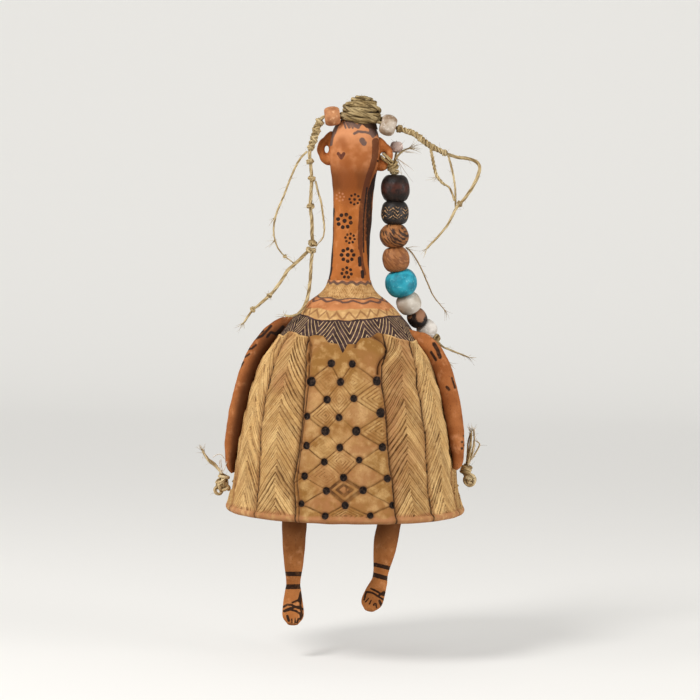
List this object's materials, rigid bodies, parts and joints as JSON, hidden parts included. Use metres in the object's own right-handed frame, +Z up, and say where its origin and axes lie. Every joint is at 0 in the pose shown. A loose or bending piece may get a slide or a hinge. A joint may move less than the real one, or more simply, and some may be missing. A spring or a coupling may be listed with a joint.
{
  "type": "bell doll",
  "caption": "Hollow terracotta bell doll with a long neck, luted arms, pierced ears, legs that swing on a cord, a twine topknot with loose hair and a bead strand on one ear.",
  "frame": {"origin": "the hanging point, on the bell's axis and level with the top of the topknot", "axes": "+Z up along the bell's axis, -Y the way the doll looks, +X to the onlooker's right"},
  "size_m": [0.1546, 0.135, 0.2986],
  "materials": {
    "slipped_terracotta": "matt fired clay with a cream slip, incised and painted",
    "terracotta": "matt fired clay",
    "pale_terracotta": "matt fired clay, rubbed smooth",
    "dark_terracotta": "matt fired clay with painted bands",
    "twine": "coarse plied plant fibre, dry and frayed",
    "tan_clay_bead": "matt fired clay",
    "grey_stone_bead": "worn matt stone",
    "pink_stone_bead": "worn matt stone",
    "white_stone_bead": "worn matt stone",
    "charred_wood_bead": "charred wood, dull sheen",
    "carved_wood_bead": "black wood with carved pale zigzags",
    "streaked_wood_bead": "streaked wood, satin",
    "tan_wood_bead": "plain wood, satin",
    "dark_wood_bead": "dark wood with a brown patch",
    "turquoise_bead": "worn turquoise colour, satin"
  },
  "bodies": {
    "doll": {"bell_body": "slipped_terracotta", "left_ear": "terracotta", "right_ear": "terracotta", "left_arm": "pale_terracotta", "right_arm": "pale_terracotta", "leg_cord": "twine", "left_hand_knot": "twine", "right_hand_knot": "twine", "topknot_coil": "twine", "left_hair_cord": "twine", "left_hair_tail": "twine", "left_hair_drop": "twine", "left_hair_side": "twine", "left_hair_loop": "twine", "right_hair_cord": "twine", "right_hair_middle": "twine", "right_hair_inner": "twine"},
    "left_leg": {"left_leg": "dark_terracotta"},
    "right_leg": {"right_leg": "dark_terracotta"},
    "left_temple_bead": {"left_temple_bead": "tan_clay_bead"},
    "right_temple_bead": {"right_temple_bead": "grey_stone_bead"},
    "ear_tie": {"ear_tie": "twine"},
    "ear_bead": {"ear_bead": "pink_stone_bead"},
    "bead_strand": {"strand_cord": "twine", "strand_end_knot": "twine", "strand_fibre": "twine"},
    "charred_bead": {"charred_bead": "charred_wood_bead"},
    "carved_bead": {"carved_bead": "carved_wood_bead"},
    "streaked_bead": {"streaked_bead": "streaked_wood_bead"},
    "tan_bead": {"tan_bead": "tan_wood_bead"},
    "turquoise_bead": {"turquoise_bead": "turquoise_bead"},
    "grey_bead": {"grey_bead": "grey_stone_bead"},
    "dark_bead": {"dark_bead": "dark_wood_bead"},
    "white_bead": {"white_bead": "white_stone_bead"}
  },
  "joints": [
    {"name": "left_leg_swing", "type": "hinge", "parent": "doll", "child": "left_leg", "pos_m": [-0.0285, 0, -0.2193], "axis": [1, 0, 0], "range_deg": [-62, 62]},
    {"name": "right_leg_swing", "type": "hinge", "parent": "doll", "child": "right_leg", "pos_m": [0.0285, 0, -0.2193], "axis": [1, 0, 0], "range_deg": [-62, 62]},
    {"name": "left_temple_bead_spin", "type": "hinge", "parent": "doll", "child": "left_temple_bead", "pos_m": [-0.0113, -0.0066, -0.0125], "axis": [-0.9927, -0.0199, -0.119], "continuous": true},
    {"name": "right_temple_bead_spin", "type": "hinge", "parent": "doll", "child": "right_temple_bead", "pos_m": [0.02, -0.006, -0.0169], "axis": [0.9583, 0.0601, -0.2795], "continuous": true},
    {"name": "ear_tie_swing", "type": "hinge", "parent": "doll", "child": "ear_tie", "pos_m": [0.0162, 0, -0.0328], "axis": [0, -1, 0], "range_deg": [0, 45]},
    {"name": "ear_bead_spin", "type": "hinge", "parent": "ear_tie", "child": "ear_bead", "pos_m": [0.02514, 0.0054, -0.02887], "axis": [0, 0.0797, 0.9968], "continuous": true},
    {"name": "bead_strand_swing", "type": "hinge", "parent": "ear_tie", "child": "bead_strand", "pos_m": [0.02484, 0, -0.04382], "axis": [1, 0, 0], "range_deg": [0, 35]},
    {"name": "charred_bead_spin", "type": "hinge", "parent": "bead_strand", "child": "charred_bead", "pos_m": [0.02484, 0, -0.05207], "axis": [0, 0, 1], "continuous": true},
    {"name": "carved_bead_spin", "type": "hinge", "parent": "bead_strand", "child": "carved_bead", "pos_m": [0.02484, 0, -0.06572], "axis": [0, 0, 1], "continuous": true},
    {"name": "streaked_bead_spin", "type": "hinge", "parent": "bead_strand", "child": "streaked_bead", "pos_m": [0.02484, 0, -0.07878], "axis": [0, 0, 1], "continuous": true},
    {"name": "tan_bead_spin", "type": "hinge", "parent": "bead_strand", "child": "tan_bead", "pos_m": [0.02593, 0.00063, -0.09192], "axis": [-0.1504, -0.0868, 0.9848], "continuous": true},
    {"name": "turquoise_bead_spin", "type": "hinge", "parent": "bead_strand", "child": "turquoise_bead", "pos_m": [0.02916, 0.00249, -0.10531], "axis": [-0.2962, -0.171, 0.9397], "continuous": true},
    {"name": "grey_bead_spin", "type": "hinge", "parent": "bead_strand", "child": "grey_bead", "pos_m": [0.03377, 0.00515, -0.11684], "axis": [-0.433, -0.25, 0.866], "continuous": true},
    {"name": "dark_bead_spin", "type": "hinge", "parent": "bead_strand", "child": "dark_bead", "pos_m": [0.0388, 0.00806, -0.12512], "axis": [-0.5567, -0.3214, 0.766], "continuous": true},
    {"name": "white_bead_spin", "type": "hinge", "parent": "bead_strand", "child": "white_bead", "pos_m": [0.0445, 0.01135, -0.13157], "axis": [-0.6634, -0.383, 0.6428], "continuous": true}
  ]
}
